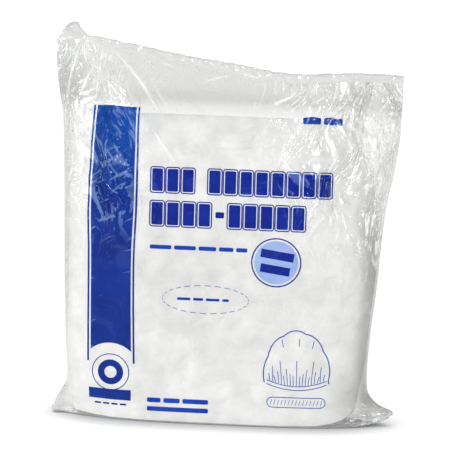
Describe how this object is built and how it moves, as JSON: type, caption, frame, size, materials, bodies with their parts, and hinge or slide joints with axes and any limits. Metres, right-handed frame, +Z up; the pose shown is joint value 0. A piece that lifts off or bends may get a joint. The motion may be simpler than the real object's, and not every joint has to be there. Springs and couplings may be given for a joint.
{
  "type": "bag of bouffant caps",
  "caption": "Clear film bag, heat-sealed across top and bottom, packed with white bouffant surgical caps and standing on its folded bottom.",
  "frame": {"origin": "on the floor, at the middle of the flat bottom", "axes": "+Z up, +X to the right as the bag is seen from the front, the front faces -Y"},
  "size_m": [0.2806, 0.0651, 0.3246],
  "materials": {
    "clear_film": "clear polyethylene film, glossy, finely crinkled",
    "welded_film": "two plies of the same film, heat-sealed or folded flat",
    "white_nonwoven": "white spunbond nonwoven, matt, softly gathered"
  },
  "bodies": {
    "root": {"front_film": "clear_film", "back_film": "clear_film", "top_seal": "welded_film", "bottom_fold": "welded_film", "cap_bundle_1": "white_nonwoven", "cap_bundle_2": "white_nonwoven", "cap_bundle_3": "white_nonwoven", "cap_bundle_4": "white_nonwoven", "cap_bundle_5": "white_nonwoven", "cap_bundle_6": "white_nonwoven", "cap_bundle_7": "white_nonwoven", "cap_bundle_8": "white_nonwoven"}
  },
  "joints": []
}
